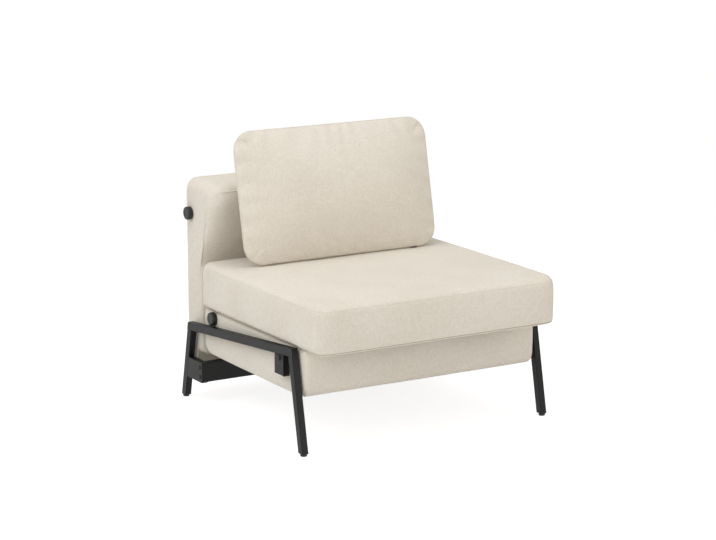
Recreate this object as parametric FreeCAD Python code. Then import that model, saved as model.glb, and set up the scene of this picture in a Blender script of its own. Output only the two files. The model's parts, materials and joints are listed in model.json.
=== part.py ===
import FreeCAD, Part
import math
import os

# Convertible chair bed, millimetres. +X right, -Y front, +Z up, floor at Z 0,
# origin on the floor in the middle of the side frames' width.

# Side frames: rectangular steel tube, open trapezoids, one on each side
frame_width = 900.0
tube_x = 22.0
tube_d = 27.0
tube_wall = 2.0
tube_edge_r = 2.5
bar_front_y = -326.0
bar_front_z = 325.0
bar_rear_y = 371.0
bar_rear_z = 262.0
front_splay = 53.0
rear_splay = 42.0
glide_h = 8.0
glide_r = 10.5

# Lower panel: sits between the frames on its front bolts and its rear knobs
side_gap = 5.0
panel_front = -356.0
panel_rear = 314.0
panel_bottom = 168.0
panel_top = 320.0
panel_rear_r = 38.0
panel_front_r = 24.0

# Upper cushion: wider than the panel, folds out to the front
cushion_set_in = 10.0
cushion_front = -466.0
cushion_rear = 318.0
cushion_h = 152.0
cushion_crown = 7.0
cushion_plan_r = 62.0
cushion_edge_r = 30.0
fold_gap = 2.0

# Backrest: upright wedge, its lower tongue stands behind the rear crossbeam
back_side_gap = 7.5
back_front = 324.0
back_rear = 469.0
back_bottom = 50.0
back_top = 728.0
back_nose_y = 208.0
back_nose_z = 680.0
back_bend_z = 482.0
tongue_front = 374.0
tongue_top = 150.0
back_plan_r = 34.0
back_edge_r = 30.0

# Pivots of the fold
pivot_y = -247.0
pivot_z = 280.0
hinge_y = 319.5
link_pivot_y = 200.5
back_pin_y = 361.0
back_pin_z = 246.0
pin_block_reach = 18.0
pin_block_half = 30.0

# Hardware
bracket_len = 55.0
bracket_low = 226.0
bolt_r = 6.0
bolt_head_r = 10.0
bolt_head_h = 4.0
bush_wall = 4.0
run_clear = 0.05
pin_r = 4.0
link_t = 3.0
link_w = 20.0
knob_r = 21.5
knob_h = 16.0
knob_stem_r = 7.0
knob_edge_r = 5.0
knob_dish_r = 60.0
knob_dish_depth = 1.4
knob_gap = 0.6
back_knob_y = 400.0
back_knob_z = 617.0
panel_knob_y = 234.0
beam_y = 280.0
beam_t = 22.0
beam_low = 76.0
beam_high = 143.0
beam_wall = 3.0
beam_bolt_r = 4.0
beam_bolt_pitch = 32.0
pad_len = 46.0
pad_h = 8.0
pad_sink = 6.0
pad_side = 3.5
seat = 0.3

# Inner frames of the soft blocks
rail_w = 30.0
rail_h = 40.0
board_t = 15.0
foam_skin = 34.0

# Fold-down support legs under the upper cushion
leg_r = 11.0
leg_span = 640.0
leg_front_inset = 61.0
leg_rear_inset = 60.0
leg_depth = 6.0
leg_top_gap = 4.0
leg_foot_r = 13.0
leg_foot_t = 12.0

# Two rear hinges between the panel and the cushion
hinge_w = 60.0
hinge_leaf_t = 1.6
hinge_leaf_l = 46.0
hinge_knuckle_r = 1.9
hinge_pin_r = 1.0
hinge_pitch = 560.0
hinge_leaf_gap = 1.2

# Loose pillow
pillow_w = 748.0
pillow_mid_x = -6.0
pillow_h = 428.0
pillow_t = 128.0
pillow_corner_r = 62.0
pillow_seam = 5.0
pillow_taper = 190.0
pillow_foot_y = 121.6
pillow_lean = 7.0
pillow_settle = 1.1
zip_len = 560.0
zip_w = 7.0
zip_t = 1.2
zip_gap = 0.1

half = frame_width / 2
inner = half - tube_x
panel_half = inner - side_gap
back_half = inner - back_side_gap
cushion_half = half - cushion_set_in
cushion_low = panel_top + fold_gap
cushion_high = cushion_low + cushion_h
bar_slope = (bar_rear_z - bar_front_z) / (bar_rear_y - bar_front_y)
bar_long = math.hypot(1.0, bar_slope)
tube_drop = tube_d * bar_long
bed_height = 2 * pivot_z - panel_bottom
leg_length = bed_height - cushion_h
leg_front_y = cushion_front + leg_front_inset
leg_rear_y = cushion_rear - leg_rear_inset
leg_axis_z = cushion_low + leg_r + leg_depth
V = FreeCAD.Vector
ends = (("left", -1.0), ("right", 1.0))


def save(node, *solids):
    """Write one node; several solids make a group."""
    shape = solids[0] if len(solids) == 1 else Part.makeCompound(list(solids))
    shape.exportStep("parts/%s.step" % node)
    print(node, len(shape.Solids), round(shape.Volume / 1000.0, 1), "cm3", shape.isValid())


def bar_z(y):
    """Top surface of the side bars at y."""
    return bar_front_z + bar_slope * (y - bar_front_y)


def slab(points, x_low, x_high):
    """Straight prism along X of a side-view outline."""
    corners = [V(x_low, y, z) for y, z in points]
    face = Part.Face(Part.makePolygon(corners + corners[:1]))
    return face.extrude(V(x_high - x_low, 0, 0))


def box(x0, x1, y0, y1, z0, z1):
    return Part.makeBox(x1 - x0, y1 - y0, z1 - z0, V(x0, y0, z0))


def rod(x0, x1, y, z, r):
    """Round bar along X."""
    return Part.makeCylinder(r, x1 - x0, V(x0, y, z), V(1, 0, 0))


def both(make):
    """A solid on the left and its twin mirrored to the right."""
    left = make(-1.0)
    return left, left.mirror(V(0, 0, 0), V(1, 0, 0))


def soften(shape, r, pick):
    edges = [e for e in shape.Edges if pick(e)]
    return shape.makeFillet(r, edges)


def along_x(edge):
    a, b = edge.Vertexes[0].Point, edge.Vertexes[-1].Point
    return abs(a.y - b.y) < 1e-6 and abs(a.z - b.z) < 1e-6


def long_edge(least):
    return lambda e: e.Length > least and not along_x(e)


def inset_at(d, r):
    """How far a rounding of radius r draws the outline in at depth d from its end."""
    return r - math.sqrt(max(r * r - (r - d) ** 2, 0.0)) if d < r else 0.0


def soft_section(x, points, radii, bulges, squeeze_y, squeeze_z):
    """Closed side-view outline of shallow arcs joined by rounded corners."""
    mid_y = sum(p[0] for p in points) / len(points)
    mid_z = sum(p[1] for p in points) / len(points)
    pts = [V(x, mid_y + (y - mid_y) * squeeze_y, mid_z + (z - mid_z) * squeeze_z) for y, z in points]
    shrink = min(squeeze_y, squeeze_z)
    count = len(pts)
    starts, stops, mids = [], [], []
    for i, corner in enumerate(pts):
        back = (pts[i - 1] - corner).normalize()
        ahead = (pts[(i + 1) % count] - corner).normalize()
        r = radii[i] * shrink
        opening = back.getAngle(ahead)
        reach = r / math.tan(opening / 2)
        starts.append(corner + back * reach)
        stops.append(corner + ahead * reach)
        inward = (back + ahead).normalize()
        mids.append(corner + inward * (r / math.sin(opening / 2) - r))
    edges = []
    for i in range(count):
        after = (i + 1) % count
        edges.append(Part.Arc(starts[i], mids[i], stops[i]).toShape())
        side = starts[after] - stops[i]
        outward = V(0, side.z, -side.y).normalize()
        middle = (stops[i] + starts[after]) * 0.5 + outward * bulges[i]
        edges.append(Part.Arc(stops[i], middle, starts[after]).toShape())
    return Part.Wire(edges)


def soft_block(half_x, points, radii, bulges, plan_r, edge_r):
    """Stuffed block: the side outline swept along X, drawn in round at both ends."""
    depth = max(p[0] for p in points) - min(p[0] for p in points)
    height = max(p[1] for p in points) - min(p[1] for p in points)
    steps = [plan_r * k for k in (0.0, 0.08, 0.3, 0.62, 1.0, 1.35, 1.8)] + [half_x * 0.6]
    stations = [-half_x + d for d in steps] + [0.0] + [half_x - d for d in reversed(steps)]
    wires = []
    for x in stations:
        d = half_x - abs(x)
        squeeze_y = 1 - 2 * 0.8 * inset_at(d, plan_r) / depth
        squeeze_z = 1 - 2 * 0.8 * inset_at(d, edge_r) / height
        wires.append(soft_section(x, points, radii, bulges, squeeze_y, squeeze_z))
    return Part.makeLoft(wires, True, False)


def make_side_frames():
    """Tube trapezoids: sloping top bar, splayed legs, welded brackets."""
    for side, s in ends:
        x0, x1 = (-half, -inner) if s < 0 else (inner, half)

        def tube(outline, hollow, name, cut=None):
            body = soften(slab(outline, x0, x1), tube_edge_r, long_edge(4 * tube_d))
            body = body.cut(slab(hollow, x0 + tube_wall, x1 - tube_wall))
            save(name, body.cut(cut) if cut else body)

        def leg(top_y, splay, hand):
            """Outline and bore of a leg; hand is -1 at the front, 1 at the rear."""
            foot = top_y + hand * (splay + tube_d / 2)
            run = (foot - top_y) / bar_z(top_y)
            wide = tube_d * math.hypot(1.0, run)
            wall = tube_wall * math.hypot(1.0, run)

            def across(inset, z):
                outer = top_y + run * (bar_z(top_y) - z) - hand * inset
                return outer, z

            def under_bar(inset):
                z = bar_z(top_y) - tube_drop
                for _ in range(6):
                    z = bar_z(across(inset, z)[0]) - tube_drop
                return across(inset, z)

            outline = [across(0, glide_h), under_bar(0), under_bar(wide), across(wide, glide_h)]
            bore = [across(wall, glide_h + 3), under_bar(wall), under_bar(wide - wall)]
            bore.append(across(wide - wall, glide_h + 3))
            return outline, bore, run

        front, front_bore, front_run = leg(bar_front_y, front_splay, -1)
        rear, rear_bore, rear_run = leg(bar_rear_y, rear_splay, 1)
        bar = [(bar_front_y, bar_front_z), (bar_rear_y, bar_rear_z), rear[1], front[1]]
        lift = tube_wall * bar_long
        bar_bore = [(bar_front_y + 3, bar_z(bar_front_y + 3) - lift), (bar_rear_y - 3, bar_z(bar_rear_y - 3) - lift)]
        bar_bore += [(bar_rear_y - 3, bar_z(bar_rear_y - 3) - tube_drop + lift)]
        bar_bore += [(bar_front_y + 3, bar_z(bar_front_y + 3) - tube_drop + lift)]
        link_hole = rod(x0 - 1, x1 + 1, link_pivot_y, link_pivot_z, pin_r)
        tube(bar, bar_bore, side + "_top_bar", link_hole.fuse(rest_pad_slot(x0, x1)))
        tube(front, front_bore, side + "_front_leg")
        tube(rear, rear_bore, side + "_rear_leg")

        y0, y1 = pivot_y - bracket_len / 2, pivot_y + bracket_len / 2
        tab = slab([(y0, bracket_low), (y1, bracket_low), (y1, bar_z(y1) - tube_drop), (y0, bar_z(y0) - tube_drop)],
                   x0, x1)
        tab = soften(tab, tube_edge_r, lambda e: abs(e.Length - bracket_len) < 1 and not along_x(e))
        save(side + "_front_bracket", tab.cut(rod(x0 - 1, x1 + 1, pivot_y, pivot_z, bolt_r)))

        def leg_face(z):
            """Front face of the rear leg at height z."""
            return rear[3][0] - rear_run * (z - glide_h)

        block = slab([(beam_y - 6, beam_low), (leg_face(beam_low), beam_low), (leg_face(beam_high), beam_high),
                      (beam_y - 6, beam_high)], x0, x1)
        block = soften(block, tube_edge_r, lambda e: along_x(e) and e.Vertexes[0].Point.y < beam_y)
        save(side + "_rear_bracket", block.cut(Part.makeCompound(beam_bolt_shafts(x0 - 1, x1 + 1))))


def rest_pad_slot(x0, x1):
    """Pocket for the rubber pad in the top of the bar."""
    y0, y1 = panel_knob_y - pad_len / 2, panel_knob_y + pad_len / 2
    low, high = pad_sink * 0.6, 4.0
    return slab([(y0, bar_z(y0) - low), (y1, bar_z(y1) - low), (y1, bar_z(y1) + high), (y0, bar_z(y0) + high)],
                x0 + pad_side, x1 - pad_side)


def beam_bolt_heights():
    middle = (beam_low + beam_high) / 2
    return middle - beam_bolt_pitch / 2, middle + beam_bolt_pitch / 2


def beam_bolt_shafts(x0, x1):
    return [rod(x0, x1, beam_y + beam_t / 2, z, beam_bolt_r) for z in beam_bolt_heights()]


def make_frame_fittings():
    """Crossbeam, bolts, glides and the pads that the knobs rest on."""
    beam = box(-inner, inner, beam_y, beam_y + beam_t, beam_low, beam_high)
    beam = soften(beam, tube_edge_r, lambda e: along_x(e))
    hollow = box(-inner + 24, inner - 24, beam_y + beam_wall, beam_y + beam_t - beam_wall,
                 beam_low + beam_wall, beam_high - beam_wall)
    beam = beam.cut(hollow).cut(Part.makeCompound(beam_bolt_shafts(-inner - 1, -inner + 20)))
    save("rear_crossbeam", beam.cut(Part.makeCompound(beam_bolt_shafts(inner - 20, inner + 1))))

    bolts = []
    for s in (-1.0, 1.0):
        for z in beam_bolt_heights():
            x_in = s * (inner - 20)
            x_out = s * half
            shaft = rod(min(x_in, x_out), max(x_in, x_out), beam_y + beam_t / 2, z, beam_bolt_r)
            cap = Part.makeCone(beam_bolt_r * 1.9, beam_bolt_r * 1.3, 3, V(x_out, beam_y + beam_t / 2, z), V(s, 0, 0))
            bolts.append(shaft.fuse(cap))
    save("crossbeam_bolts", *bolts)

    glides = []
    for x in (-half + tube_x / 2, half - tube_x / 2):
        for y in (bar_front_y - front_splay, bar_rear_y + rear_splay):
            disc = Part.makeCylinder(glide_r, glide_h, V(x, y, 0))
            glides.append(soften(disc, 2.0, lambda e: abs(e.Vertexes[0].Point.z) < 1e-6 and e.Length > glide_r))
    save("foot_glides", *glides)

    def pad(s):
        y0, y1 = panel_knob_y - pad_len / 2, panel_knob_y + pad_len / 2
        low, high = pad_sink * 0.6, pad_h - pad_sink
        solid = slab([(y0, bar_z(y0) - low), (y1, bar_z(y1) - low), (y1, bar_z(y1) + high), (y0, bar_z(y0) + high)],
                     -half + pad_side, -inner - pad_side)
        return solid
    save("rest_pads", *both(pad))

    def pivot_bolt(s):
        shaft = rod(-half, -panel_half + rail_w, pivot_y, pivot_z, bolt_r)
        head = Part.makeCone(bolt_head_r * 0.8, bolt_head_r, bolt_head_h, V(-half - bolt_head_h, pivot_y, pivot_z),
                             V(1, 0, 0))
        return shaft.fuse(head)
    save("panel_pivot_bolts", *both(pivot_bolt))

    def link_bolt(s):
        shaft = rod(-half, -inner + side_gap - 0.6, link_pivot_y, link_pivot_z, pin_r)
        return shaft
    save("link_pivot_pins", *both(link_bolt))


def rails(x_half, y0, y1, z0, z1, cross_at):
    """Ladder frame inside a soft block: two side rails and the rails across."""
    side_rails = [box(-x_half, -x_half + rail_w, y0, y1, z0, z1), box(x_half - rail_w, x_half, y0, y1, z0, z1)]
    across = [box(-x_half + rail_w, x_half - rail_w, y, y + rail_w, z0, z1) for y in cross_at]
    return side_rails, across


def make_panel():
    """Lower panel: ladder frame, board, upholstery, bushes and knobs."""
    rail_x = panel_half - 1.5
    z0, z1 = pivot_z - rail_h / 2, pivot_z + rail_h / 2 - 4
    y0, y1 = panel_front + foam_skin, panel_rear - foam_skin
    cross = [y0, (y0 + y1 - rail_w) / 2, y1 - rail_w]
    side_rails, across = rails(rail_x - foam_skin / 4, y0, y1, z0, z1, cross)
    bush_x0 = -rail_x + foam_skin / 4
    bush_r = bolt_r + run_clear + bush_wall
    seats = [rod(bush_x0, bush_x0 + rail_w, pivot_y, pivot_z, bush_r),
             rod(-bush_x0 - rail_w, -bush_x0, pivot_y, pivot_z, bush_r)]
    knob_bore = [rod(bush_x0 - 1, bush_x0 + rail_w, panel_knob_y, panel_knob_z, knob_stem_r),
                 rod(-bush_x0 - rail_w, -bush_x0 + 1, panel_knob_y, panel_knob_z, knob_stem_r)]
    side_rails = [r.cut(Part.makeCompound(seats + knob_bore)) for r in side_rails]
    save("panel_side_rails", *side_rails)
    save("panel_cross_rails", *across)
    board = box(bush_x0, -bush_x0, y0, y1, z1, z1 + board_t)
    board = board.cut(Part.makeCompound(knob_bore))
    save("panel_board", board)

    bushes = [s.cut(rod(-half, half, pivot_y, pivot_z, bolt_r + run_clear)) for s in seats]
    save("panel_pivot_bushes", *bushes)

    outline = [(panel_front, panel_bottom), (panel_rear, panel_bottom), (panel_rear, panel_top), (panel_front, panel_top)]
    radii = [panel_front_r, panel_rear_r, 9.0, 12.0]
    soft = soft_block(panel_half - 1.0, outline, radii, [3.0, 0.4, 0.4, 4.0], 16.0, 14.0)
    room = Part.makeCompound(
        [box(bush_x0 - seat, -bush_x0 + seat, y0 - seat, y1 + seat, z0 - seat, z1 + board_t + seat)])
    soft = soft.cut(room)
    for s in (-1.0, 1.0):
        x_a, x_b = sorted((s * (rail_x - foam_skin / 2), s * (panel_half + 2)))
        soft = soft.cut(rod(x_a, x_b, pivot_y, pivot_z, bolt_head_r))
        soft = soft.cut(rod(x_a, x_b, panel_knob_y, panel_knob_z, knob_stem_r + seat))
    soft = soft.cut(hinge_space(-1.0))
    save("lower_panel", soft)
    save("panel_knobs", *both(lambda s: knob(-panel_half - knob_gap, bush_x0 + rail_w - 4, panel_knob_y, panel_knob_z)))


def knob(x_face, x_end, y, z):
    """Round grip knob on a threaded stem; x_face is the side of the soft block."""
    head = rod(x_face - knob_h, x_face, y, z, knob_r)
    head = head.makeFillet(knob_edge_r, [e for e in head.Edges if abs(e.Vertexes[0].Point.x - (x_face - knob_h)) < 1e-6
                                 and e.Length > knob_r * 3])
    dish = Part.makeSphere(knob_dish_r, V(x_face - knob_h + knob_dish_depth - knob_dish_r, y, z))
    return head.cut(dish).fuse(rod(x_face, x_end, y, z, knob_stem_r))


def hinge_space(side):
    """Shallow seat for the hinge leaves: side -1 in the panel's top, 1 in the cushion's underside."""
    z0, z1 = (panel_top - 4.0, panel_top + 1) if side < 0 else (cushion_low - 1, cushion_low + 4.0)
    seats = []
    for x in hinge_centres():
        seats.append(box(x - hinge_w / 2 - seat, x + hinge_w / 2 + seat,
                         hinge_y - hinge_leaf_l - 4, cushion_rear + 12, z0, z1))
    return Part.makeCompound(seats)


def hinge_centres():
    return -hinge_pitch / 2, hinge_pitch / 2


def make_hinges():
    """Flat leaves between panel and cushion, knuckles along the rear edge on one pin."""
    axis_z = panel_top + fold_gap / 2
    lower, upper, pins = [], [], []
    for x in hinge_centres():
        for group, part_of, sign in ((lower, (0, 2), -1.0), (upper, (1,), 1.0)):
            third = hinge_w / 3
            face = axis_z + sign * hinge_leaf_gap
            leaf = box(x - hinge_w / 2, x + hinge_w / 2, hinge_y - hinge_leaf_l, hinge_y - hinge_knuckle_r - hinge_leaf_gap,
                       min(face, face + sign * hinge_leaf_t), max(face, face + sign * hinge_leaf_t))
            for k in part_of:
                x0 = x - hinge_w / 2 + k * third + 0.2
                x1 = x0 + third - 0.4
                knuckle = rod(x0, x1, hinge_y, axis_z, hinge_knuckle_r)
                web = box(x0, x1, hinge_y - hinge_knuckle_r - 2, hinge_y,
                          min(axis_z + sign * 0.6, face + sign * hinge_leaf_t),
                          max(axis_z + sign * 0.6, face + sign * hinge_leaf_t))
                leaf = leaf.fuse(knuckle).fuse(web)
            clear = hinge_pin_r + (run_clear if sign > 0 else 0.0)
            group.append(leaf.cut(rod(x - hinge_w, x + hinge_w, hinge_y, axis_z, clear)))
        pins.append(rod(x - hinge_w / 2, x + hinge_w / 2, hinge_y, axis_z, hinge_pin_r))
    save("hinge_lower_leaves", *lower)
    save("hinge_upper_leaves", *upper)
    save("hinge_pins", *pins)


def u_leg(axis_y, hand, name):
    """Folded U of round tube; hand 1 lies rearward of its pivot, -1 forward of it."""
    reach = leg_length + (leg_axis_z - cushion_low) - leg_foot_t
    x = leg_span / 2
    tip = axis_y + hand * reach
    low, high = sorted((axis_y, tip))
    sides = [Part.makeCylinder(leg_r, high - low, V(s * x, low, leg_axis_z), V(0, 1, 0)) for s in (-1.0, 1.0)]
    hub = rod(-x - leg_r, x + leg_r, axis_y, leg_axis_z, leg_r)
    tie = rod(-x, x, axis_y + hand * reach * 0.7, leg_axis_z, leg_r * 0.7)
    body = hub.fuse(sides).fuse(tie)
    save(name, body.cut(rod(-x - 40, x + 40, axis_y, leg_axis_z, pin_r + run_clear)))
    feet = []
    for s in (-1.0, 1.0):
        start = V(s * x, tip, leg_axis_z)
        feet.append(Part.makeCylinder(leg_foot_r, leg_foot_t, start, V(0, hand, 0)))
    save(name + "_feet", *feet)


def leg_room():
    """Recess under the cushion for both folded legs and their pivots."""
    x = leg_span / 2 + 34
    top = leg_axis_z + leg_foot_r + leg_top_gap
    reach = leg_length + (leg_axis_z - cushion_low)
    front = box(-x, x, leg_front_y - leg_foot_r - 5, leg_front_y + reach + 6, cushion_low - 5, top)
    rear = box(-x, x, leg_rear_y - reach - 6, leg_rear_y + leg_foot_r + 5, cushion_low - 5, top)
    return [front, rear]


def make_cushion():
    """Upper cushion: base board, upholstery, leg pivots."""
    x = cushion_half
    room = leg_room()
    top = leg_axis_z + leg_foot_r + leg_top_gap
    y0, y1 = cushion_front + 30.0, cushion_rear - 26.0
    board = box(-x + 30, x - 30, y0, y1, top, top + board_t)
    save("seat_board", board)

    outline = [(cushion_front, cushion_low), (cushion_rear, cushion_low), (cushion_rear, cushion_high),
               (cushion_front, cushion_high)]
    radii = [26.0, 16.0, 30.0, 30.0]
    soft = soft_block(x, outline, radii, [0.3, 0.5, cushion_crown, 4.0], cushion_plan_r, cushion_edge_r)
    soft = soft.cut(box(-x + 30 - seat, x - 30 + seat, y0 - seat, y1 + seat, top - seat, top + board_t + seat))
    for space in room:
        soft = soft.cut(space)
    soft = soft.cut(hinge_space(1.0))
    save("seat_cushion", soft)

    pins, blocks = [], []
    for y in (leg_front_y, leg_rear_y):
        for s in (-1.0, 1.0):
            x_a, x_b = sorted((s * (leg_span / 2 - 4), s * (leg_span / 2 + 32)))
            pins.append(rod(x_a, x_b, y, leg_axis_z, pin_r))
            b0, b1 = sorted((s * (leg_span / 2 + leg_r + 1), s * (leg_span / 2 + 32)))
            cheek = box(b0, b1, y - 10, y + 10, leg_axis_z - 9, top - seat)
            blocks.append(cheek.cut(rod(-x, x, y, leg_axis_z, pin_r)))
    save("leg_pivot_pins", *pins)
    save("leg_pivot_blocks", *blocks)
    u_leg(leg_front_y, 1.0, "front_support_leg")
    u_leg(leg_rear_y, -1.0, "rear_support_leg")


def make_links():
    """Flat swing links on the inner faces of the bars; they carry the backrest over."""
    x0 = -inner + 1.0
    run = V(0, back_pin_y - link_pivot_y, back_pin_z - link_pivot_z)
    along = V(run).normalize()
    up = V(0, -along.z, along.y) * (link_w / 2)
    a = V(0, link_pivot_y, link_pivot_z)
    b = V(0, back_pin_y, back_pin_z)

    def link(s):
        strip = slab([((a + up).y, (a + up).z), ((b + up).y, (b + up).z), ((b - up).y, (b - up).z),
                      ((a - up).y, (a - up).z)], x0, x0 + link_t)
        strip = strip.fuse([rod(x0, x0 + link_t, a.y, a.z, link_w / 2), rod(x0, x0 + link_t, b.y, b.z, link_w / 2)])
        hole = rod(x0 - 1, x0 + link_t + 1, a.y, a.z, pin_r + run_clear)
        return strip.removeSplitter().cut(hole).cut(rod(x0 - 1, x0 + link_t + 1, b.y, b.z, pin_r + run_clear))
    save("swing_links", *both(link))


def make_backrest():
    """Backrest: ladder frame, upholstery, pins for the links, knobs."""
    rail_x = back_half - 10.0
    y0 = back_knob_y - rail_h / 2
    y1 = back_knob_y + rail_h / 2
    z0, z1 = back_bottom + 20, back_top - foam_skin
    stiles = [box(-rail_x, -rail_x + rail_w, y0, y1, z0, z1), box(rail_x - rail_w, rail_x, y0, y1, z0, z1)]
    levels = [z0, back_knob_z - rail_w / 2 - 40, z1 - rail_w]
    spars = [box(-rail_x + rail_w, rail_x - rail_w, y0, y1, z, z + rail_w) for z in levels]

    block_z0, block_z1 = back_pin_z - pin_block_half, back_pin_z + pin_block_half
    pads = [box(-rail_x, -rail_x + rail_w, back_pin_y - pin_block_reach, y0, block_z0, block_z1),
            box(rail_x - rail_w, rail_x, back_pin_y - pin_block_reach, y0, block_z0, block_z1)]
    holes = []
    for s in (-1.0, 1.0):
        x_a, x_b = sorted((s * (rail_x - rail_w), s * (rail_x + 12)))
        holes.append(rod(x_a, x_b, back_pin_y, back_pin_z, pin_r))
        holes.append(rod(x_a, x_b, back_knob_y, back_knob_z, knob_stem_r))
    holes = Part.makeCompound(holes)
    save("back_stiles", *[s.cut(holes) for s in stiles])
    save("back_spars", *spars)
    save("back_pin_blocks", *[p.cut(holes) for p in pads])

    outline = [(tongue_front, back_bottom), (back_rear, back_bottom), (back_rear, back_top),
               (back_nose_y + 14, back_top), (back_nose_y, back_nose_z), (back_front, back_bend_z),
               (back_front, tongue_top), (tongue_front, tongue_top)]
    radii = [18.0, 22.0, 30.0, 26.0, 60.0, 90.0, 12.0, 8.0]
    bulges = [0.3, 0.3, 3.0, 1.0, 4.0, 0.3, 0.3, 0.3]
    soft = soft_block(back_half, outline, radii, bulges, back_plan_r, back_edge_r)
    rooms = []
    for s in (-1.0, 1.0):
        x_a, x_b = sorted((s * (rail_x + seat), s * (rail_x - rail_w - seat)))
        rooms.append(box(x_a, x_b, y0 - seat, y1 + seat, z0 - seat, z1 + seat))
        rooms.append(box(x_a, x_b, back_pin_y - pin_block_reach - seat, y0, block_z0 - seat, block_z1 + seat))
        x_a, x_b = sorted((s * (rail_x - 1), s * (back_half + 2)))
        rooms.append(rod(x_a, x_b, back_pin_y, back_pin_z, pin_r + seat))
        rooms.append(rod(x_a, x_b, back_knob_y, back_knob_z, knob_stem_r + seat))
    for z in levels:
        rooms.append(box(-rail_x + rail_w - 1, rail_x - rail_w + 1, y0 - seat, y1 + seat, z - seat, z + rail_w + seat))
    for room in rooms:
        soft = soft.cut(room)
    save("backrest", soft)

    pin_x = -inner + 0.6
    save("back_pins", *both(lambda s: rod(pin_x, -rail_x + rail_w, back_pin_y, back_pin_z, pin_r)))
    save("back_knobs", *both(lambda s: knob(-back_half - knob_gap, -rail_x + rail_w, back_knob_y, back_knob_z)))


def pillow_place(shape):
    """Stand the pillow on the seat, leaning back."""
    shape.rotate(V(0, 0, 0), V(1, 0, 0), -pillow_lean)
    shape.translate(V(pillow_mid_x, pillow_foot_y, pillow_foot_z))
    return shape


def pillow_half_thickness(d):
    """Half the pillow's thickness at depth d from its left or right end."""
    share = math.sin(min(1.0, d / pillow_taper) * math.pi / 2) ** 0.6
    return max(pillow_seam / 2 + (pillow_t - pillow_seam) / 2 * share, pillow_seam / 2 + 1.5)


def make_pillow():
    """Loose pillow: two crowned faces meeting in a seam, zip along the bottom."""
    half_w = pillow_w / 2
    s = pillow_seam / 2
    corner_steps = [pillow_corner_r * k for k in (0.0, 0.06, 0.2, 0.45, 0.75, 1.0, 1.4)]
    depths = corner_steps + [pillow_taper * 0.6, pillow_taper * 0.8, pillow_taper, half_w * 0.8, half_w]
    stations = [-half_w + d for d in depths] + [half_w - d for d in reversed(depths[:-1])]
    wires = []
    for x in stations:
        d = half_w - abs(x)
        inset = 0.72 * inset_at(d, pillow_corner_r)
        low, high = zip_t + zip_gap + inset, pillow_h - inset
        mid = (low + high) / 2
        full = pillow_half_thickness(d)
        edges = [Part.Arc(V(x, -s, low), V(x, -full, mid), V(x, -s, high)).toShape(),
                 Part.makeLine(V(x, -s, high), V(x, s, high)),
                 Part.Arc(V(x, s, high), V(x, full, mid), V(x, s, low)).toShape(),
                 Part.makeLine(V(x, s, low), V(x, -s, low))]
        wires.append(Part.Wire(edges))
    save("pillow", pillow_place(Part.makeLoft(wires, True, False)))

    tape = box(-zip_len / 2, zip_len / 2, -zip_w / 2, zip_w / 2, 0, zip_t)
    save("zip_tape", pillow_place(tape))
    x = zip_len / 2
    y = -zip_w / 2 - seat
    slider = box(x - 12, x - 2, y - 3.5, y, 0.2, 2.0)
    pull = box(x - 24, x - 8, y - 3.2, y - 0.6, 0.2, 1.2)
    save("zip_slider", pillow_place(slider.fuse(pull)))


link_pivot_z = bar_z(link_pivot_y) - tube_drop / 2
panel_knob_z = bar_z(panel_knob_y) + (pad_h - pad_sink) + knob_r + seat
pillow_foot_z = cushion_high + cushion_crown - pillow_settle

os.makedirs("parts", exist_ok=True)
make_side_frames()
make_frame_fittings()
make_panel()
make_hinges()
make_cushion()
make_links()
make_backrest()
make_pillow()
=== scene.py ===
import bpy, bmesh
import json
import math
from mathutils import Vector, Matrix, noise


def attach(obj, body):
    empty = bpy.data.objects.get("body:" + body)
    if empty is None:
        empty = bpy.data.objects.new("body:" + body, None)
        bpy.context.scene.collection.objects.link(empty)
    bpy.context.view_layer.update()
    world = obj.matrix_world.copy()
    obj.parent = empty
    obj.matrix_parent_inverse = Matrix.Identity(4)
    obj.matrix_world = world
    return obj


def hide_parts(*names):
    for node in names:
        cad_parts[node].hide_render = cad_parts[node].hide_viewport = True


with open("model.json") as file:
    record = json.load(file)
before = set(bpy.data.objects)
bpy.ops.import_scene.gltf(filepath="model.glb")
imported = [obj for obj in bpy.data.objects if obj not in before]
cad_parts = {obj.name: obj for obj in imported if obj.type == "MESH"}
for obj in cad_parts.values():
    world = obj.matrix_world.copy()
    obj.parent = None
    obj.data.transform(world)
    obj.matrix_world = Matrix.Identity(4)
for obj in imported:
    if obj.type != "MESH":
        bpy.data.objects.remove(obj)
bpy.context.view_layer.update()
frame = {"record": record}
print("frame loaded")

# Lengths are in metres throughout


# Shader node with its sockets filled: a socket takes a plain value or another node's output
def addNode(tree, kind, sockets, **settings):
    node = tree.nodes.new("ShaderNode" + kind)
    for setting, value in settings.items():
        setattr(node, setting, value)
    fillSockets(tree, node, sockets)
    return node


def fillSockets(tree, node, sockets):
    for socket, value in sockets.items():
        if isinstance(value, bpy.types.NodeSocket):
            tree.links.new(value, node.inputs[socket])
        else:
            node.inputs[socket].default_value = value


def newMaterial(name):
    material = bpy.data.materials.new(name)
    material.use_nodes = True
    return material, material.node_tree, material.node_tree.nodes["Principled BSDF"]


def grainOf(tree, scale, detail, roughness=0.55, stretch=(1, 1, 1)):
    coords = addNode(tree, "TexCoord", {})
    mapping = addNode(tree, "Mapping", {"Vector": coords.outputs["Object"], "Scale": stretch})
    sockets = {"Vector": mapping.outputs["Vector"], "Scale": scale, "Detail": detail, "Roughness": roughness}
    return addNode(tree, "TexNoise", sockets).outputs["Fac"]


def toneBetween(tree, factor, low, high, span=(0.3, 0.7)):
    ramp = addNode(tree, "ValToRGB", {"Fac": factor})
    for stop, place, tone in zip(ramp.color_ramp.elements, span, (low, high)):
        stop.position = place
        stop.color = (*tone, 1)
    return ramp.outputs["Color"]


def relief(tree, height, strength, distance, under=None):
    sockets = {"Height": height, "Strength": strength, "Distance": distance}
    if under:
        sockets["Normal"] = under
    return addNode(tree, "Bump", sockets).outputs["Normal"]


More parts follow.
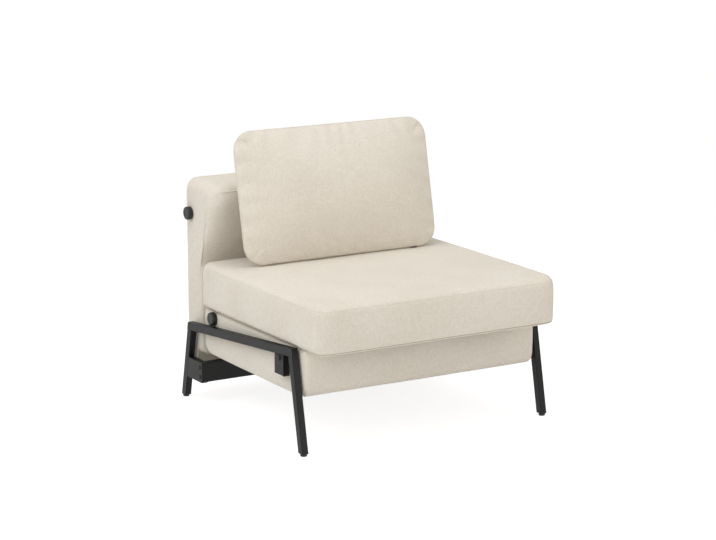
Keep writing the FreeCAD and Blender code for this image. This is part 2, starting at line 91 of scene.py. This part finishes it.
def addTo(tree, first, second, weight=1.0):
    return addNode(tree, "Math", {0: first, 1: weight, 2: second}, operation="MULTIPLY_ADD").outputs[0]


cloth = {
    "waveByPitch": 0.314,  # wave scale times the yarn's pitch
    "yarnWander": 1.4, "yarnDetail": 2.0, "yarnDetailScale": 0.6,
    "slubScale": 330.0, "slubAcross": (0.22, 1.0, 1.0), "slubDown": (1.0, 0.45, 0.22),
    "mottleScale": 5.0, "mottleSpan": (0.30, 0.62),
    "threadSpan": (0.34, 0.60), "threadShade": (0.78, 0.75, 0.70), "threadStrength": 0.55,
    "weaveRelief": (0.5, 0.0006), "slubRelief": (0.55, 0.0012),  # strength and depth
    "mottleInRelief": 0.55,
    "roughness": 0.92, "specular": 0.15, "sheen": 0.12, "sheenRoughness": 0.6,
}


# Plain-weave cloth: crossing yarns, slubs and a faint mottled tone
def wovenCloth(name, pale, deep, yarn=0.0021):
    material, tree, shader = newMaterial(name)
    coords = addNode(tree, "TexCoord", {})
    weave = None
    for axis in ("X", "Y", "Z"):
        sockets = {
            "Vector": coords.outputs["Object"], "Scale": cloth["waveByPitch"] / yarn,
            "Distortion": cloth["yarnWander"], "Detail": cloth["yarnDetail"],
            "Detail Scale": cloth["yarnDetailScale"],
        }
        yarns = addNode(tree, "TexWave", sockets, bands_direction=axis).outputs["Fac"]
        weave = yarns if weave is None else addTo(tree, yarns, weave)
    slubAcross = grainOf(tree, cloth["slubScale"], detail=3.0, roughness=0.6, stretch=cloth["slubAcross"])
    slubDown = grainOf(tree, cloth["slubScale"], detail=3.0, roughness=0.6, stretch=cloth["slubDown"])
    mottle = grainOf(tree, cloth["mottleScale"], detail=3.0, roughness=0.5)
    threads = addTo(tree, slubAcross, slubDown)
    unevenness = addTo(tree, mottle, threads, cloth["mottleInRelief"])
    meanThread = addNode(tree, "Math", {0: threads, 1: 0.5}, operation="MULTIPLY").outputs[0]
    tint = addNode(tree, "Mix", {
        "Factor": cloth["threadStrength"],
        "A": toneBetween(tree, mottle, deep, pale, cloth["mottleSpan"]),
        "B": toneBetween(tree, meanThread, cloth["threadShade"], (1, 1, 1), cloth["threadSpan"]),
    }, data_type="RGBA", blend_type="MULTIPLY")
    yarnRelief = relief(tree, weave, *cloth["weaveRelief"])
    fillSockets(tree, shader, {
        "Base Color": tint.outputs["Result"],
        "Normal": relief(tree, unevenness, *cloth["slubRelief"], under=yarnRelief),
        "Roughness": cloth["roughness"], "Specular IOR Level": cloth["specular"],
        "Sheen Weight": cloth["sheen"], "Sheen Roughness": cloth["sheenRoughness"],
    })
    return material


# Satin black coat: fine orange peel and slightly paler rubbed patches
def powderCoat(name, dark, light):
    material, tree, shader = newMaterial(name)
    patches = grainOf(tree, scale=14.0, detail=5.0, roughness=0.6)
    peel = grainOf(tree, scale=1400.0, detail=2.0, roughness=0.5)
    gloss = addNode(tree, "MapRange", {"Value": patches, "To Min": 0.35, "To Max": 0.52})
    fillSockets(tree, shader, {
        "Base Color": toneBetween(tree, patches, dark, light, span=(0.35, 0.75)),
        "Normal": relief(tree, peel, strength=0.25, distance=0.0002),
        "Roughness": gloss.outputs["Result"], "Specular IOR Level": 0.24,
    })
    return material


def mouldedPlastic(name, dark, light, roughness=0.5):
    material, tree, shader = newMaterial(name)
    cloudy = grainOf(tree, scale=60.0, detail=3.0)
    pores = grainOf(tree, scale=2200.0, detail=2.0)
    fillSockets(tree, shader, {
        "Base Color": toneBetween(tree, cloudy, dark, light), "Roughness": roughness,
        "Normal": relief(tree, pores, strength=0.3, distance=0.0002),
    })
    return material


def brushedSteel(name, dark, light):
    material, tree, shader = newMaterial(name)
    lines = grainOf(tree, scale=300.0, detail=3.0, roughness=0.6, stretch=(0.05, 1, 1))
    fillSockets(tree, shader, {
        "Base Color": toneBetween(tree, lines, dark, light), "Metallic": 1.0, "Roughness": 0.36,
        "Normal": relief(tree, lines, strength=0.2, distance=0.0002),
    })
    return material


def planedWood(name, pale, deep):
    material, tree, shader = newMaterial(name)
    grain = grainOf(tree, scale=46.0, detail=6.0, roughness=0.65, stretch=(0.08, 1.0, 1.0))
    fillSockets(tree, shader, {
        "Base Color": toneBetween(tree, grain, deep, pale, span=(0.35, 0.68)), "Roughness": 0.6,
        "Normal": relief(tree, grain, strength=0.3, distance=0.0005),
    })
    return material


cream = wovenCloth("creamCloth", (0.836, 0.786, 0.710), (0.800, 0.746, 0.664))
creamPillow = wovenCloth("creamClothPillow", (0.838, 0.787, 0.708), (0.800, 0.746, 0.662), yarn=0.0019)
seamThread = wovenCloth("seamThread", (0.80, 0.745, 0.655), (0.74, 0.68, 0.585), yarn=0.0010)
# Dark brown cloth for the painted shadow line under the seat cushion's front edge
paintedShadowCloth = wovenCloth("paintedShadowCloth", (0.46, 0.38, 0.29), (0.40, 0.32, 0.24), yarn=0.0010)
coat = powderCoat("blackCoat", (0.0048, 0.0046, 0.0048), (0.0086, 0.0084, 0.0086))
plastic = mouldedPlastic("blackPlastic", (0.008, 0.008, 0.0085), (0.014, 0.014, 0.0145))
rubber = mouldedPlastic("blackRubber", (0.016, 0.016, 0.016), (0.026, 0.026, 0.026), roughness=0.8)
zinc = brushedSteel("zincSteel", (0.40, 0.40, 0.41), (0.60, 0.60, 0.60))
pine = planedWood("pine", (0.72, 0.55, 0.34), (0.56, 0.40, 0.22))
ply = planedWood("plywood", (0.74, 0.60, 0.40), (0.60, 0.45, 0.28))
tapeCloth = wovenCloth("zipTape", (0.66, 0.60, 0.50), (0.56, 0.50, 0.41), yarn=0.0008)
print("materials made")

# Hardware keeps its shape and gets its finish
finishes = {
    "frame_black": coat, "glide_black": plastic, "pad_rubber": rubber, "steel": zinc, "knob_black": plastic,
    "wood": pine, "board": ply, "cover_cream": cream, "zip_tape": tapeCloth, "zip_metal": coat,
}
slotOf = {part["node"]: part["material_slot"] for part in frame["record"]["subparts"]}
finishOf = {"link_pivot_pins": coat}  # painted over with the bars
for nodeName, slotName in slotOf.items():
    carried = bpy.data.objects.get(nodeName)
    if carried and carried.type == "MESH":
        carried.data.materials.clear()
        carried.data.materials.append(finishOf.get(nodeName, finishes[slotName]))


def makeObject(name, verts, faces, material):
    mesh = bpy.data.meshes.new(name)
    mesh.from_pydata(verts, [], faces)
    mesh.update()
    for polygon in mesh.polygons:
        polygon.use_smooth = True
    piece = bpy.data.objects.new(name, mesh)
    bpy.context.scene.collection.objects.link(piece)
    mesh.materials.append(material)
    work = bmesh.new()
    work.from_mesh(mesh)
    bmesh.ops.recalc_face_normals(work, faces=work.faces)
    work.to_mesh(mesh)
    work.free()
    return piece


# How far a rounding draws an outline in, at a depth from the end
def insetAt(depth, radius):
    return radius - math.sqrt(max(radius ** 2 - (radius - depth) ** 2, 0.0)) if depth < radius else 0.0


softMesh = {
    "cornerSteps": 9, "stepsPerMetre": 22 / 0.7, "leastSteps": 3, "cornerPull": 0.92,
    "endSteps": 9, "middleSteps": 18, "capRings": 12,
    "endShare": 1.6,  # how far the rounded ends narrow the outline, both sides together
    "capCrown": 0.3, "crownFade": 0.8,
    "fineRipple": 2.7, "fineShare": 0.45, "fineShift": (7.1, 3.3, 1.7),
}


# Points around a side outline: rounded corners joined by gently bulged sides
def roundedOutline(corners, radii, bulges):
    count = len(corners)
    pull = softMesh["cornerPull"]
    arcs = []
    for i, corner in enumerate(corners):
        here = Vector(corner)
        back = (Vector(corners[i - 1]) - here).normalized()
        ahead = (Vector(corners[(i + 1) % count]) - here).normalized()
        reach = radii[i] / math.tan(back.angle(ahead) / 2)
        arcs.append((here + back * reach, here, here + ahead * reach))
    points = []
    for i, (start, here, stop) in enumerate(arcs):
        for k in range(softMesh["cornerSteps"]):
            t = k / softMesh["cornerSteps"]
            mixed = t * (1 - t)
            point = start * (1 - t) ** 2 + here * (2 * mixed) * pull
            points.append(point + (start + stop) * mixed * (1 - pull) + stop * t ** 2)
        side = arcs[(i + 1) % count][0] - stop
        outward = Vector((side.y, -side.x)).normalized()
        steps = int(softMesh["stepsPerMetre"] * side.length) + softMesh["leastSteps"]
        for k in range(steps):
            t = k / steps
            points.append(stop + side * t + outward * bulges[i] * 4 * t * (1 - t))
    return points


# Soft unevenness of stuffed cloth
def ripple(point, scale, amount):
    broad = noise.noise(Vector(point) * scale)
    finer = noise.noise(Vector(point) * scale * softMesh["fineRipple"] + Vector(softMesh["fineShift"]))
    return amount * (broad + softMesh["fineShare"] * finer)


# Stuffed block: its side outline, from (y, z) corners, swept along X and rounded off at both ends
def softBlock(block):
    corners = block["corners"]
    outline = roundedOutline(corners, block["radii"], block["bulges"])
    flat = roundedOutline(corners, block["radii"], [0.0] * len(corners))
    midY = sum(y for y, z in corners) / len(corners)
    midZ = sum(z for y, z in corners) / len(corners)
    depth = max(y for y, z in corners) - min(y for y, z in corners)
    height = max(z for y, z in corners) - min(z for y, z in corners)
    halfX, planR, edgeR, endBulge = block["halfX"], block["planR"], block["edgeR"], block["endBulge"]
    endSteps, middleSteps, capRings = softMesh["endSteps"], softMesh["middleSteps"], softMesh["capRings"]
    offsets = [planR * (1 - math.cos(math.pi / 2 * k / endSteps)) for k in range(endSteps + 1)]
    offsets += [planR + (halfX - planR) * k / middleSteps for k in range(1, middleSteps + 1)]
    stations = [-halfX + d for d in offsets] + [halfX - d for d in reversed(offsets[:-1])]
    ring = len(outline)
    verts, faces = [], []

    def squeeze(d):
        share = softMesh["endShare"]
        return 1 - share * insetAt(d, planR) / depth, 1 - share * insetAt(d, edgeR) / height

    def addRing(x, squeezeY, squeezeZ, crown):
        for bulged, plain in zip(outline, flat):
            y = plain.x + (bulged.x - plain.x) * crown
            z = plain.y + (bulged.y - plain.y) * crown
            verts.append((x, midY + (y - midY) * squeezeY, midZ + (z - midZ) * squeezeZ))

    def addCapRing(end, k):
        t = k / capRings
        endY, endZ = squeeze(0)
        addRing(end * (halfX + endBulge * (1 - t ** 2)), endY * t, endZ * t, softMesh["capCrown"])

    for k in range(1, capRings):
        addCapRing(-1, k)
    for x in stations:
        crown = min(1.0, 1 - (abs(x) / halfX) ** 4 * softMesh["crownFade"])
        addRing(x, *squeeze(halfX - abs(x)), crown)
    for k in range(capRings - 1, 0, -1):
        addCapRing(1, k)
    rings = len(verts) // ring
    for r in range(rings - 1):
        for i in range(ring):
            j = (i + 1) % ring
            faces.append((r * ring + i, r * ring + j, (r + 1) * ring + j, (r + 1) * ring + i))
    for base, end in ((0, -1), ((rings - 1) * ring, 1)):
        centre = len(verts)
        verts.append((end * (halfX + endBulge), midY, midZ))
        faces += [(base + i, base + (i + 1) % ring, centre) for i in range(ring)]
    piece = makeObject(block["name"], verts, faces, block["material"])
    normals = [vertex.normal.copy() for vertex in piece.data.vertices]
    for vertex, normal in zip(piece.data.vertices, normals):
        place = vertex.co.copy()
        vertex.co = place + normal * ripple(place, block["rippleScale"], block["ripple"])
    return piece


# Cut a box-shaped recess into a piece, with crisp edges
def carve(piece, low, high, crispAngle=math.radians(50)):
    corners = [(x, y, z) for x in (low[0], high[0]) for y in (low[1], high[1]) for z in (low[2], high[2])]
    sides = [(0, 1, 3, 2), (4, 6, 7, 5), (0, 4, 5, 1), (2, 3, 7, 6), (0, 2, 6, 4), (1, 5, 7, 3)]
    mesh = bpy.data.meshes.new("recess")
    mesh.from_pydata(corners, [], sides)
    mesh.materials.append(piece.data.materials[0])
    cutter = bpy.data.objects.new("recess", mesh)
    bpy.context.scene.collection.objects.link(cutter)
    cut = piece.modifiers.new("recess", "BOOLEAN")
    cut.operation = "DIFFERENCE"
    cut.solver = "EXACT"
    cut.object = cutter
    graph = bpy.context.evaluated_depsgraph_get()
    carved = bpy.data.meshes.new_from_object(piece.evaluated_get(graph))
    piece.modifiers.clear()
    piece.data = carved
    bpy.data.objects.remove(cutter)
    carved.set_sharp_from_angle(angle=crispAngle)


# A sewn seam: a fine raised line through the points
def seamLine(name, points, material, body, radius, closed=True):
    curve = bpy.data.curves.new(name, "CURVE")
    curve.dimensions = "3D"
    spline = curve.splines.new("POLY")
    spline.points.add(len(points) - 1)
    for target, point in zip(spline.points, points):
        target.co = (*point, 1)
    spline.use_cyclic_u = closed
    curve.bevel_depth = radius
    curve.bevel_resolution = 2
    piece = bpy.data.objects.new(name, curve)
    bpy.context.scene.collection.objects.link(piece)
    curve.materials.append(material)
    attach(piece, body)


# A seam laid on a cover, sunk a little into its cloth; in dark cloth it also draws a painted shadow line
def seamOn(piece, name, points, body, thread, radius=0.0007, sink=0.0003):
    laid = []
    for point in points:
        place, normal = piece.closest_point_on_mesh(Vector(point))[1:3]
        laid.append(place - normal * sink)
    seamLine(name, laid, thread, body, radius)


# Plan loop with rounded corners at one height, its long sides cut into short steps
def loopAt(halfX, yLow, yHigh, z, corner, cornerSteps=10, spacing=0.02):
    points = []
    centres = [
        (halfX - corner, yHigh - corner), (-halfX + corner, yHigh - corner),
        (-halfX + corner, yLow + corner), (halfX - corner, yLow + corner),
    ]
    for turn, (cx, cy) in enumerate(centres):
        for k in range(cornerSteps + 1):
            a = math.pi / 2 * (turn + k / cornerSteps)
            points.append((cx + corner * math.cos(a), cy + corner * math.sin(a), z))
    full = []
    for i, p in enumerate(points):
        q = points[(i + 1) % len(points)]
        pieces = max(1, int(math.dist(p, q) / spacing))
        full += [tuple(a + (b - a) * k / pieces for a, b in zip(p, q)) for k in range(pieces)]
    return full


# Upper cushion
seat = {
    "name": "seatCushionCover", "material": cream, "halfX": 0.438, "planR": 0.056, "edgeR": 0.028,
    "corners": [(-0.465, 0.3225), (0.3175, 0.3225), (0.3175, 0.474), (-0.465, 0.474)],
    "radii": [0.009, 0.016, 0.038, 0.036], "bulges": [0.0005, 0.001, 0.0075, 0.005],
    "endBulge": 0.003, "rippleScale": 7.0, "ripple": 0.0013,
    "legRooms": ((-0.423, -0.142), (-0.005, 0.276)),  # front and rear recess, each with its folded leg
    "roomHalfX": 0.354, "roomFloor": 0.310, "roomTop": 0.356,
    "seamHigh": {"halfX": 0.44, "yLow": -0.468, "yHigh": 0.320, "z": 0.462, "corner": 0.05},
    # Seam loop at the cushion's bottom edge in dark cloth: a painted shadow line standing in for the shadow
    # gap above the lower panel
    "shadowLineSeam": {"halfX": 0.44, "yLow": -0.468, "yHigh": 0.320, "z": 0.3282, "corner": 0.05},
    "shadowLineSeamRadius": 0.0011,
}
seatPiece = softBlock(seat)
for yLow, yHigh in seat["legRooms"]:
    low = (-seat["roomHalfX"], yLow, seat["roomFloor"])
    carve(seatPiece, low, (seat["roomHalfX"], yHigh, seat["roomTop"]))
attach(seatPiece, "upper_cushion")
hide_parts("seat_cushion")
seamOn(seatPiece, "seatSeamHigh", loopAt(**seat["seamHigh"]), "upper_cushion", seamThread)
# Dark seam along the cushion's bottom edge, a painted shadow line for the gap under the overhang
seamOn(seatPiece, "seatShadowLineSeam", loopAt(**seat["shadowLineSeam"]), "upper_cushion", paintedShadowCloth, seat["shadowLineSeamRadius"])
print("seat cushion made")

# Lower panel
panel = {
    "name": "lowerPanelCover", "material": cream, "halfX": 0.4215, "planR": 0.020, "edgeR": 0.016,
    "corners": [(-0.356, 0.168), (0.3135, 0.168), (0.3135, 0.3195), (-0.356, 0.3195)],
    "radii": [0.036, 0.044, 0.010, 0.014], "bulges": [0.003, 0.0008, 0.0003, 0.0045],
    "endBulge": 0.0008, "rippleScale": 8.0, "ripple": 0.0007,
    "seam": {"halfX": 0.423, "yLow": -0.358, "yHigh": 0.315, "z": 0.181, "corner": 0.018},
}
panelPiece = softBlock(panel)
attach(panelPiece, "lower_panel")
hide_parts("lower_panel")
seamOn(panelPiece, "panelSeam", loopAt(**panel["seam"]), "lower_panel", seamThread)
print("lower panel made")

# Backrest
back = {
    "name": "backrestCover", "material": cream, "halfX": 0.4175, "planR": 0.062, "edgeR": 0.044,
    "corners": [(0.374, 0.0508), (0.468, 0.0508), (0.468, 0.727), (0.247, 0.727), (0.233, 0.680),
                (0.325, 0.482), (0.325, 0.151), (0.374, 0.151)],
    "radii": [0.014, 0.018, 0.034, 0.028, 0.070, 0.120, 0.014, 0.009],
    "bulges": [0.0003, 0.0006, 0.004, 0.002, 0.005, 0.0005, 0.0003, 0.0003],
    "endBulge": 0.001, "rippleScale": 6.0, "ripple": 0.0012,
}
backPiece = softBlock(back)
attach(backPiece, "backrest")
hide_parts("backrest")
print("backrest made")

# Loose pillow
pillow = {
    "width": 0.716, "height": 0.431, "thick": 0.128, "corner": 0.066, "seam": 0.005,
    "midX": -0.006, "footY": 0.1216, "footZ": 0.4799, "footLift": 0.0006, "lean": math.radians(12.0),
    "rearShare": 0.64,  # flatter where it leans on the backrest
    "taper": 0.20, "sidePower": 0.70, "tallPower": 0.86, "drawnIn": 0.0008, "leastHalf": 0.0012,
    "pucker": 0.0030, "puckerWaves": 95.0, "puckerWander": 5, "puckerNoise": 6,
    "puckerFade": 0.045, "puckerStart": 0.010,
    "swell": 0.0035, "swellNoise": 5.0, "swellApart": 3.0, "swellStart": 0.05,
    "stepsAcross": 110, "stepsUp": 72, "crowding": 0.55,
    "seamRadius": 0.0016,
}


# u along the width and v up the height, both -1 to 1; face -1 front, 1 rear
def pillowPoint(u, v, face):
    corner = pillow["corner"]
    halfW, halfH = pillow["width"] / 2, pillow["height"] / 2 - pillow["drawnIn"]
    x, z = u * halfW, v * halfH
    cx = max(-halfW + corner, min(halfW - corner, x))
    cz = max(-halfH + corner, min(halfH - corner, z))
    dx, dz = (x - cx) / corner, (z - cz) / corner
    if dx and dz:
        longest = max(abs(dx), abs(dz))
        size = math.hypot(dx, dz)
        x = cx + dx / size * longest * corner
        z = cz + dz / size * longest * corner
    toSide, toTop = (1 - abs(u)) * halfW, (1 - abs(v)) * halfH
    edge = min(toSide, toTop)
    sideRise = math.sin(min(1.0, toSide / pillow["taper"]) * math.pi / 2) ** pillow["sidePower"]
    tallRise = max(0.0, 1 - v * v) ** pillow["tallPower"]
    full = pillow["seam"] / 2 + (pillow["thick"] - pillow["seam"]) / 2 * sideRise * tallRise
    along = x if abs(v) * halfH > abs(u) * halfH else z
    roaming = noise.noise(Vector((x * pillow["puckerNoise"], z * pillow["puckerNoise"], face)))
    waves = math.sin(along * pillow["puckerWaves"] + pillow["puckerWander"] * roaming)
    pucker = pillow["pucker"] * math.exp(-edge / pillow["puckerFade"]) * waves
    pucker *= min(1.0, edge / pillow["puckerStart"])
    apart = pillow["swellApart"] * face  # front and rear differ
    uneven = noise.noise(Vector((x * pillow["swellNoise"], z * pillow["swellNoise"], apart)))
    swell = pillow["swell"] * uneven * min(1.0, edge / pillow["swellStart"])
    if face > 0:
        full *= pillow["rearShare"]
    y = face * max(full + pucker + swell, pillow["leastHalf"])
    local = Vector((x, y, z + pillow["height"] / 2 + pillow["footLift"]))
    turned = Matrix.Rotation(-pillow["lean"], 3, "X") @ local
    return turned + Vector((pillow["midX"], pillow["footY"], pillow["footZ"]))


# Where the front and the rear meet, on the border
def pillowRim(u, v):
    return (pillowPoint(u, v, -1) + pillowPoint(u, v, 1)) / 2


# Steps from -1 to 1, closer together near both ends
def spread(k, count):
    t = 2 * k / count - 1
    return math.sin(t * math.pi / 2) * pillow["crowding"] + t * (1 - pillow["crowding"])


across, up = pillow["stepsAcross"], pillow["stepsUp"]
placesAcross = [spread(i, across) for i in range(across + 1)]
placesUp = [spread(k, up) for k in range(up + 1)]


def makePillow():
    verts, faces = [], []
    index = {}

    def keyOf(i, k, face):
        return (i, k, 0 if i in (0, across) or k in (0, up) else face)

    for face in (-1, 1):
        for i, u in enumerate(placesAcross):
            for k, v in enumerate(placesUp):
                key = keyOf(i, k, face)
                if key not in index:
                    index[key] = len(verts)
                    verts.append(tuple(pillowPoint(u, v, face) if key[2] else pillowRim(u, v)))
        for i in range(across):
            for k in range(up):
                cell = ((i, k), (i + 1, k), (i + 1, k + 1), (i, k + 1))
                faces.append(tuple(index[keyOf(a, b, face)] for a, b in cell))
    return makeObject("pillowCover", verts, faces, creamPillow)


pillowPiece = makePillow()
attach(pillowPiece, "pillow")
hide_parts("pillow")
rim = [pillowRim(-1.0, v) for v in placesUp[:-1]]
rim += [pillowRim(u, 1.0) for u in placesAcross]
rim += [pillowRim(1.0, v) for v in reversed(placesUp[:-1])]
seamLine("pillowSeam", rim, creamPillow, "pillow", pillow["seamRadius"], closed=False)
print("pillow made")

# Floor and surroundings, with one tone for the eye and another that lights the object
ground = {
    "radius": 3.2, "sides": 96, "bounce": 0.86, "roughness": 0.9,
    "glow": 0.84, "shade": 0.36,  # what the eye sees: light of its own, and how far shadows show on it
    "ambient": (1, 0.968, 0.915, 1), "ambientStrength": 0.60,
}


# 1 where a ray comes from the eye, a reflection or through glass
def seenRays(tree):
    rays = addNode(tree, "LightPath", {})
    total = rays.outputs["Is Camera Ray"]
    for kind in ("Is Glossy Ray", "Is Transmission Ray"):
        total = addNode(tree, "Math", {0: total, 1: rays.outputs[kind]}, operation="MAXIMUM").outputs[0]
    return total


def mixBySight(tree, unseen, seen, output):
    mixer = addNode(tree, "MixShader", {"Fac": seenRays(tree), 1: unseen, 2: seen})
    tree.links.new(mixer.outputs[0], tree.nodes[output].inputs["Surface"])


def grey(level):
    return (level, level, level, 1)


turns = [2 * math.pi * k / ground["sides"] for k in range(ground["sides"])]
floorRim = [(ground["radius"] * math.cos(turn), ground["radius"] * math.sin(turn), 0) for turn in turns]
floorMesh = bpy.data.meshes.new("floor")
floorMesh.from_pydata(floorRim, [], [tuple(range(ground["sides"]))])
floor = bpy.data.objects.new("floor", floorMesh)
bpy.context.scene.collection.objects.link(floor)
floorMaterial, floorTree, floorShader = newMaterial("paleFloor")
fillSockets(floorTree, floorShader, {
    "Base Color": grey(ground["bounce"]), "Roughness": ground["roughness"], "Specular IOR Level": 0.0,
})
glow = addNode(floorTree, "Emission", {"Color": grey(1), "Strength": ground["glow"]})
shade = addNode(floorTree, "BsdfDiffuse", {"Color": grey(ground["shade"])})
pale = addNode(floorTree, "AddShader", {0: glow.outputs[0], 1: shade.outputs[0]})
mixBySight(floorTree, floorShader.outputs[0], pale.outputs[0], "Material Output")
floorMesh.materials.append(floorMaterial)

world = bpy.data.worlds.new("studio")
bpy.context.scene.world = world
world.use_nodes = True
skyTree = world.node_tree
ambient = skyTree.nodes["Background"]
fillSockets(skyTree, ambient, {"Color": ground["ambient"], "Strength": ground["ambientStrength"]})
white = addNode(skyTree, "Background", {"Color": grey(1), "Strength": 1.0})
mixBySight(skyTree, ambient.outputs[0], white.outputs[0], "World Output")
print("floor and surroundings made")

lamps = {
    "keyBox": {
        "place": (-3.2, -0.8, 3.2), "target": (0, 0, 0.4), "size": (3.0, 3.0),
        "power": 66, "tint": (0.965, 0.985, 1),
    },
    "topBox": {
        "place": (0.4, -0.6, 4.2), "target": (0, 0, 0.3), "size": (3.4, 3.4),
        "power": 45, "tint": (0.945, 0.975, 1),
    },
    "frontFill": {
        "place": (1.2, -4.4, 0.8), "target": (0, 0, 0.3), "size": (3.0, 1.6),
        "power": 23, "tint": (1, 0.955, 0.88),
    },
}
for name, setup in lamps.items():
    lamp = bpy.data.lights.new(name, "AREA")
    lamp.shape = "RECTANGLE"
    lamp.size, lamp.size_y = setup["size"]
    lamp.energy = setup["power"]
    lamp.color = setup["tint"]
    holder = bpy.data.objects.new(name, lamp)
    bpy.context.scene.collection.objects.link(holder)
    holder.location = setup["place"]
    aim = Vector(setup["target"]) - Vector(setup["place"])
    holder.rotation_euler = aim.to_track_quat("-Z", "Y").to_euler()

# Camera of the photograph: standing place, turn to the right and tilt down in radians, and lens
view = {
    "place": (-3.7514, -6.2798, 2.0756), "turn": 0.5358, "tilt": 0.218,
    "focalPixels": 2330.6, "imageWidth": 716, "sensorWidth": 36.0,
}
optics = bpy.data.cameras.new("camera")
optics.sensor_width = view["sensorWidth"]
optics.lens = view["focalPixels"] / view["imageWidth"] * view["sensorWidth"]
camera = bpy.data.objects.new("camera", optics)
bpy.context.scene.collection.objects.link(camera)
camera.location = view["place"]
camera.rotation_euler = (math.pi / 2 - view["tilt"], 0, -view["turn"])
bpy.context.scene.camera = camera
bpy.context.scene.view_settings.view_transform = "Standard"
print("light and camera set")

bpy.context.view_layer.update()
